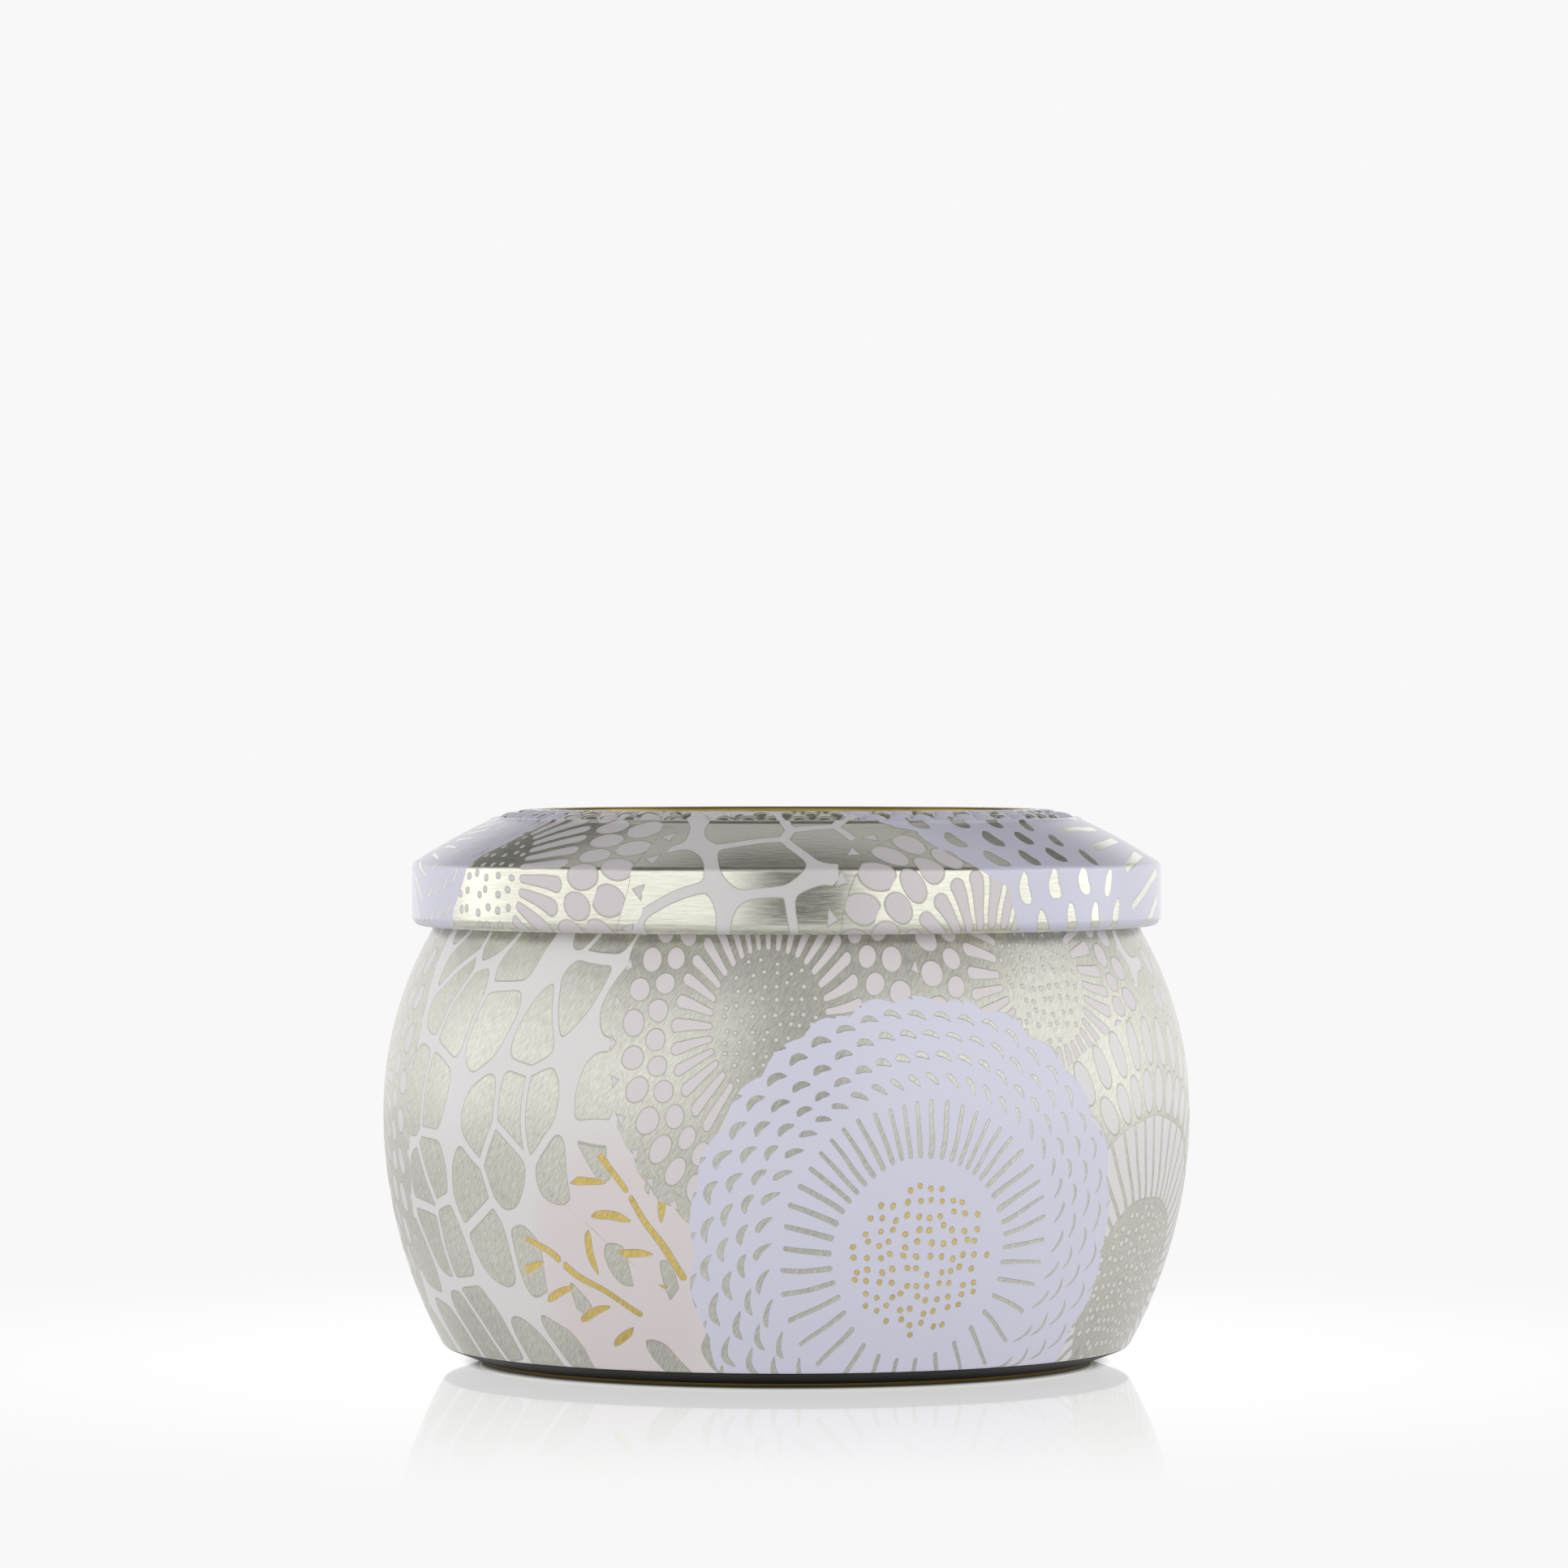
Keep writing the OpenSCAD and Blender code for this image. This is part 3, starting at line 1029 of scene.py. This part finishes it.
def poured_wax(wax):
    """Wax with a meniscus at the wall and the wick; below its top it follows the CAD"""
    floor_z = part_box("wax_fill")[0].z / MM
    skin = SHEET_T + GAP
    wall_low = RIM_Z + skin + 0.15
    wall_high = WAX_Z - 0.6
    wall = [(r, z) for r, z in moved(wall_path(), skin) if r > FOOT_R and wall_low < z < wall_high]
    upper_c = BODY_R - UPPER_ARC_R
    edge_r = upper_c + math.sqrt((UPPER_ARC_R - skin) ** 2 - (WAX_Z - BULGE_Z) ** 2)
    top = []
    steps = 60
    sunk = 0.5
    for i in range(steps + 1):
        r = edge_r + (WICK_R + GAP - edge_r) * i / steps
        at_wall = 0.48 * math.exp((r - edge_r) / 0.8)
        at_wick = 0.4 * math.exp((WICK_R + GAP - r) / 0.9)
        top.append((r, WAX_Z - sunk + at_wall + at_wick))
    round_tab = [(WICK_R + GAP, 8.3), (1.8, 8.25), (1.8, 3.4), (2.6, 2.45), (10.1, 2.4)]
    floor = [(10.1, floor_z + 0.1), (12.0, floor_z)]
    over_bead = [(r, z) for r, z in moved(plate_path(), skin) if r > 26.6]
    outline = round_tab + floor + over_bead + wall
    first = len(outline)
    outline += top

    def lift(angle, j):
        if j < first:
            return 0.0, 0.0
        r = outline[j][0]
        fade = min(1.0, (edge_r - r) / 3.0) * min(1.0, (r - WICK_R) / 3.0)
        wave = math.sin(angle * 2 + r * 0.21) * 0.05 + math.sin(angle * 3 - r * 0.33 + 1.3) * 0.04
        return 0.0, wave * fade

    return revolve("poured_wax", outline, 160, [wax], [0] * len(outline), lift=lift)


def braided_wick(cotton):
    """Braided cotton sleeve: strands wind both ways and cross over and under"""
    strands = 4
    twist_rate = 1.15
    low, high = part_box("wick")
    bottom = low.z / MM
    top = high.z / MM
    rows = 260
    outline = [(WICK_R, bottom + (top - bottom) * i / rows) for i in range(rows + 1)]
    outline += [(CORE_R + GAP, top), (CORE_R + GAP, bottom)]

    def lift(angle, j):
        if j > rows:
            return 0.0, 0.0
        height = outline[j][1]
        twist = height * twist_rate
        right = math.cos(strands * (angle - twist))
        left = math.cos(strands * (angle + twist))
        upper = math.cos(strands * twist) * math.cos(strands * angle)
        strand = max(right + 0.35 * upper, left - 0.35 * upper)
        end = 0.05 if j in (0, rows) else 0.0
        return -0.14 + 0.1 * strand - end, 0.0

    return revolve("braided_wick", outline, 72, [cotton], [0] * len(outline), lift=lift)


# ---------------------------------------------------------------- stage and camera

CAMERA_DISTANCE = 655.0
CAMERA_HEIGHT = 58.5
AIM_X = -0.23
AIM_Z = 54.33
LENS = 159.3
FLOOR_R = 450.0
FLOOR_DROP = 0.02

# The table mirrors the tin most at its foot, and not at all from this far out
MIRROR = 0.34
MIRROR_START = 30.0
MIRROR_END = 125.0

# Brightness of the table as the camera and as the object see it, and of the studio's ceiling
# in reflections and as soft light
FLOOR_WHITE = 0.94
FLOOR_BOUNCE = 0.75
CEILING = 0.13
SOFT_CEILING = 0.32

# Soft boxes: azimuth, elevation, half width, half height, softness in degrees, and power
BOXES = [
    (-62, 9, 52, 30, 9, 1.18),
    (68, 9, 48, 30, 9, 1.3),
    (0, 49, 40, 17, 10, 0.4),
    (180, 53, 60, 8, 3, 0.42),
]


def camera_ray(tree):
    """1 for what the camera sees directly, 0 for what the object reflects and is lit by"""
    return Num(tree, tree.nodes.new("ShaderNodeLightPath").outputs["Is Camera Ray"])


def glossy_ray(tree):
    """1 for what shows as a reflection, 0 for light that only brightens a surface"""
    return Num(tree, tree.nodes.new("ShaderNodeLightPath").outputs["Is Glossy Ray"])


def studio_floor():
    """White gloss table whose far edge meets the white surround"""
    material, tree, shader = new_material("gloss_table")
    tree.nodes.remove(shader)
    output = tree.nodes["Material Output"]
    glow = tree.nodes.new("ShaderNodeEmission")
    split = tree.nodes.new("ShaderNodeSeparateXYZ")
    tree.links.new(object_place(tree), split.inputs[0])
    reach = hypot(Num(tree, split.outputs[0]), Num(tree, split.outputs[1]))
    # Painted shadow: the table's glow is dimmed under the foot and just round it
    under = ramp(reach, (FOOT_R - 0.4) * MM, (FOOT_R + 2.0) * MM, 0.06, 1.0)
    plug(tree, blend(camera_ray(tree), FLOOR_BOUNCE, FLOOR_WHITE) * under, glow.inputs["Strength"])
    gloss = tree.nodes.new("ShaderNodeBsdfGlossy")
    gloss.inputs["Roughness"].default_value = 0.04
    gloss.inputs["Color"].default_value = (1.0, 1.0, 1.0, 1.0)
    mix = tree.nodes.new("ShaderNodeMixShader")
    mirror = ramp(reach, MIRROR_START * MM, MIRROR_END * MM, MIRROR, 0.0)
    plug(tree, mirror, mix.inputs[0])
    tree.links.new(glow.outputs[0], mix.inputs[1])
    tree.links.new(gloss.outputs[0], mix.inputs[2])
    tree.links.new(mix.outputs[0], output.inputs["Surface"])
    under_foot = (0.0, 0.0, -FLOOR_DROP * MM)
    bpy.ops.mesh.primitive_circle_add(vertices=128, radius=FLOOR_R * MM, fill_type="NGON",
                                      location=under_foot)
    floor = bpy.context.object
    floor.name = "gloss_table"
    floor.data.materials.append(material)


def box_light(azimuth, elevation, half_az, half_el, soft, direction):
    """Mask of a soft rectangle in the surround, angles in degrees; azimuth 0 is towards -Y"""
    side, height = direction
    off = (side - azimuth).calc("WRAP", 180.0, -180.0).size()
    across = ramp(off, half_az - soft, half_az + soft, 1.0, 0.0)
    up = ramp((height - elevation).size(), half_el - soft, half_el + soft, 1.0, 0.0)
    return across * up


def studio_world():
    """White horizon, darker ceiling and soft boxes on both sides, overhead and behind"""
    world = bpy.data.worlds.new("studio")
    bpy.context.scene.world = world
    world.use_nodes = True
    tree = world.node_tree
    background = tree.nodes["Background"]
    place = tree.nodes.new("ShaderNodeTexCoord").outputs["Generated"]
    split = tree.nodes.new("ShaderNodeSeparateXYZ")
    tree.links.new(place, split.inputs[0])
    x, y, z = (Num(tree, s) for s in split.outputs)
    height = z.calc("ARCSINE") * (180 / math.pi)
    side = x.calc("ARCTAN2", -y) * (180 / math.pi)
    direction = (side, height)
    rim = ramp(height, 15.0, 31.0, 1.0, 0.0) * ramp(side.size(), 95.0, 120.0)
    light = rim + blend(glossy_ray(tree), SOFT_CEILING, CEILING)
    for azimuth, elevation, half_az, half_el, soft, power in BOXES:
        light = light + box_light(azimuth, elevation, half_az, half_el, soft, direction) * power
    plug(tree, blend(camera_ray(tree), light, FLOOR_WHITE), background.inputs["Strength"])
    background.inputs["Color"].default_value = (1.0, 1.0, 1.0, 1.0)


def photo_camera():
    """Long lens in front of the tin, a little above its lid"""
    data = bpy.data.cameras.new("photo")
    data.lens = LENS
    data.sensor_width = 36.0
    data.clip_start = 0.01
    data.clip_end = 6.0
    camera = bpy.data.objects.new("photo", data)
    bpy.context.scene.collection.objects.link(camera)
    camera.location = (0.0, -CAMERA_DISTANCE * MM, CAMERA_HEIGHT * MM)
    aim = Vector((AIM_X * MM, 0.0, AIM_Z * MM)) - camera.location
    camera.rotation_euler = aim.to_track_quat("-Z", "Y").to_euler()
    bpy.context.scene.camera = camera


# ---------------------------------------------------------------- the tin

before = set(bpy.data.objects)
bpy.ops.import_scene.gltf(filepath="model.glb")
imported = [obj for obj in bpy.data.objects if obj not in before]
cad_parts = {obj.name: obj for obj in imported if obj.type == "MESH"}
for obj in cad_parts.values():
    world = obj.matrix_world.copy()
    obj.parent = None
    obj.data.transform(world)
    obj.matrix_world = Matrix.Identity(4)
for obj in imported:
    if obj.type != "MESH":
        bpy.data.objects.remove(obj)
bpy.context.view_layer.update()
bpy.context.scene.view_settings.view_transform = "Standard"

lacquer = lacquer_gold()
wall_grain = (55, 1.1, 5.5, 0.75)
lid_grain = (0, 0.4, 4.0, 0.4)
wall_print = printed_metal("wall_print", wall_design, DULL_CHAMPAGNE, 0.4, 0.25, 0.0, wall_grain)
lid_print = printed_metal("lid_print", lid_design, CHAMPAGNE, 0.22, 0.5, 0.22, lid_grain)

cotton = fibre("waxed_cotton", (240, 234, 216), (206, 196, 172), 9000.0, 0.6)
pieces = [
    (printed_body(wall_print, black_foot_band(), lacquer), "body_wall", "tin", "printed_tin"),
    (base_plate(lacquer), "base_plate", "tin", "gold_tin"),
    (poured_wax(soft_wax()), "wax_fill", "tin", "wax"),
    (braided_wick(cotton), "wick", "tin", "wick_cotton"),
    (printed_lid(lid_print, lacquer), "lid_shell", "lid", "printed_tin"),
    (medallion(polished_brass()), "lid_medallion", "lid", "medallion_brass"),
]
for piece, node, body, slot in pieces:
    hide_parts(node)
    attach(piece, body)

carried = {
    "seam_compound": matt("sealing_compound", (30, 30, 31), (48, 47, 47), 1800.0, 0.75, 0.03),
    "base_label": matt("label_paper", (240, 238, 230), (226, 222, 210), 2600.0, 0.85, 0.01),
    "wick_core": fibre("core_paper", (222, 208, 178), (190, 172, 138), 7000.0, 0.3),
    "wick_sustainer": tab_steel(),
    "wick_sticker": matt("adhesive_foam", (232, 232, 226), (214, 212, 204), 2200.0, 0.8, 0.03),
    "medallion_pad": matt("adhesive_film", (226, 224, 214), (208, 205, 192), 2200.0, 0.7, 0.01),
}
for node, material in carried.items():
    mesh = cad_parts[node].data
    mesh.materials.clear()
    mesh.materials.append(material)

studio_floor()
studio_world()
photo_camera()
